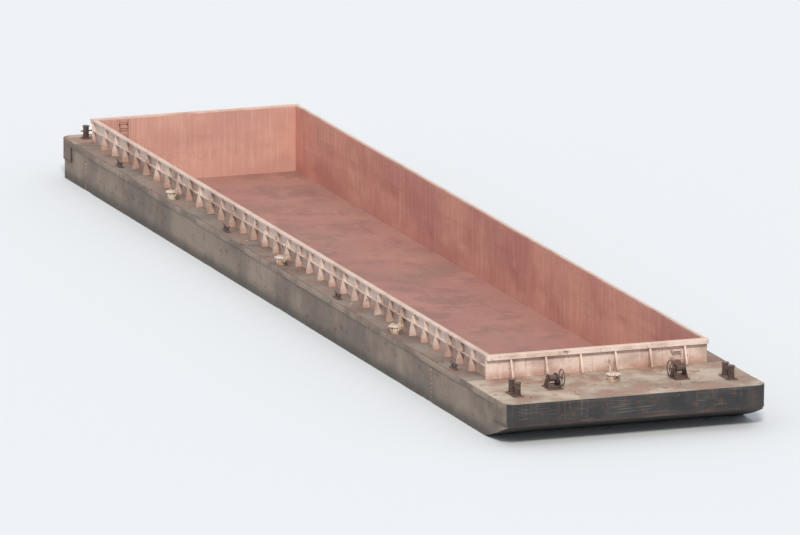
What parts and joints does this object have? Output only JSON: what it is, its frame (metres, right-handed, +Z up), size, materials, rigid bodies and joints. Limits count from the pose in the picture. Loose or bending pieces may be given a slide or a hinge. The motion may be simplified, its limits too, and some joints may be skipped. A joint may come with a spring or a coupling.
{
  "type": "open hopper river barge, 1:2 scale model",
  "caption": "Open hopper river barge with a raked bow and square stern, coamings round one long cargo hold, double bitts, kevels, hinged deck hatches and hand winches.",
  "frame": {"origin": "on the flat bottom, at the middle of the length and of the beam", "axes": "+X to the bow, +Y to port, +Z up"},
  "size_m": [30, 6, 1.8],
  "materials": {
    "hull": "weathered dark hull paint, matt",
    "headlog": "scuffed steel with worn paint",
    "deck": "dusty deck paint, matt",
    "hopper": "ore-stained rusty plate, matt",
    "coaming": "faded cream paint with dust and rust",
    "fitting": "worn dark steel",
    "hatch_trunk": "dusty deck paint, matt",
    "hatch_lid": "faded paint, dusty",
    "winch_drum": "worn steel with wound wire",
    "ladder": "rusty steel"
  },
  "bodies": {
    "hull": {"double_bottom": "hull", "bow_rake": "hull", "stern_tank": "hull", "wing_tank_port": "hull", "wing_tank_starboard": "hull", "deck_bow": "deck", "deck_stern": "deck", "deck_port": "deck", "deck_starboard": "deck", "headlog_bow": "headlog", "headlog_stern": "headlog", "rub_rail_port": "headlog", "rub_rail_starboard": "headlog", "hopper_floor": "hopper", "hopper_side_port": "hopper", "hopper_side_starboard": "hopper", "hopper_end_bow": "hopper", "hopper_end_stern": "hopper", "coaming_port": "coaming", "coaming_starboard": "coaming", "coaming_bow": "coaming", "coaming_stern": "coaming", "bitt_bow_port": "fitting", "bitt_bow_starboard": "fitting", "bitt_stern_port": "fitting", "bitt_stern_starboard": "fitting", "kevel_port_1": "fitting", "kevel_starboard_1": "fitting", "kevel_port_2": "fitting", "kevel_starboard_2": "fitting", "kevel_port_3": "fitting", "kevel_starboard_3": "fitting", "kevel_port_4": "fitting", "kevel_starboard_4": "fitting", "hatch_trunk_bow": "hatch_trunk", "hatch_trunk_port_1": "hatch_trunk", "hatch_trunk_port_2": "hatch_trunk", "hatch_trunk_port_3": "hatch_trunk", "hatch_trunk_starboard_1": "hatch_trunk", "hatch_trunk_starboard_2": "hatch_trunk", "hatch_trunk_starboard_3": "hatch_trunk", "hatch_trunk_stern": "hatch_trunk", "winch_frame_port": "fitting", "winch_frame_starboard": "fitting", "ladder_bow": "ladder", "ladder_stern": "ladder"},
    "hatch_lid_bow": {"hatch_lid_bow": "hatch_lid"},
    "hatch_lid_port_1": {"hatch_lid_port_1": "hatch_lid"},
    "hatch_lid_port_2": {"hatch_lid_port_2": "hatch_lid"},
    "hatch_lid_port_3": {"hatch_lid_port_3": "hatch_lid"},
    "hatch_lid_starboard_1": {"hatch_lid_starboard_1": "hatch_lid"},
    "hatch_lid_starboard_2": {"hatch_lid_starboard_2": "hatch_lid"},
    "hatch_lid_starboard_3": {"hatch_lid_starboard_3": "hatch_lid"},
    "hatch_lid_stern": {"hatch_lid_stern": "hatch_lid"},
    "winch_drum_port": {"winch_drum_port": "winch_drum"},
    "winch_drum_starboard": {"winch_drum_starboard": "winch_drum"}
  },
  "joints": [
    {"name": "hatch_lid_bow_hinge", "type": "hinge", "parent": "hull", "child": "hatch_lid_bow", "pos_m": [13.75, 0, 1.4179], "axis": [0, 1, 0], "range_deg": [0, 110]},
    {"name": "hatch_lid_port_1_hinge", "type": "hinge", "parent": "hull", "child": "hatch_lid_port_1", "pos_m": [7.3, 2.8, 1.4179], "axis": [0, -1, 0], "range_deg": [0, 110]},
    {"name": "hatch_lid_port_2_hinge", "type": "hinge", "parent": "hull", "child": "hatch_lid_port_2", "pos_m": [-0.2, 2.8, 1.4179], "axis": [0, -1, 0], "range_deg": [0, 110]},
    {"name": "hatch_lid_port_3_hinge", "type": "hinge", "parent": "hull", "child": "hatch_lid_port_3", "pos_m": [-7.7, 2.8, 1.4179], "axis": [0, -1, 0], "range_deg": [0, 110]},
    {"name": "hatch_lid_starboard_1_hinge", "type": "hinge", "parent": "hull", "child": "hatch_lid_starboard_1", "pos_m": [7.3, -2.8, 1.4179], "axis": [0, -1, 0], "range_deg": [0, 110]},
    {"name": "hatch_lid_starboard_2_hinge", "type": "hinge", "parent": "hull", "child": "hatch_lid_starboard_2", "pos_m": [-0.2, -2.8, 1.4179], "axis": [0, -1, 0], "range_deg": [0, 110]},
    {"name": "hatch_lid_starboard_3_hinge", "type": "hinge", "parent": "hull", "child": "hatch_lid_starboard_3", "pos_m": [-7.7, -2.8, 1.4179], "axis": [0, -1, 0], "range_deg": [0, 110]},
    {"name": "hatch_lid_stern_hinge", "type": "hinge", "parent": "hull", "child": "hatch_lid_stern", "pos_m": [-14.525, -0.2, 1.4179], "axis": [1, 0, 0], "range_deg": [0, 110]},
    {"name": "winch_drum_port_turn", "type": "hinge", "parent": "hull", "child": "winch_drum_port", "pos_m": [13.7, 1.45, 1.4604], "axis": [0, 1, 0], "continuous": true},
    {"name": "winch_drum_starboard_turn", "type": "hinge", "parent": "hull", "child": "winch_drum_starboard", "pos_m": [13.7, -1.45, 1.4604], "axis": [0, 1, 0], "continuous": true}
  ]
}
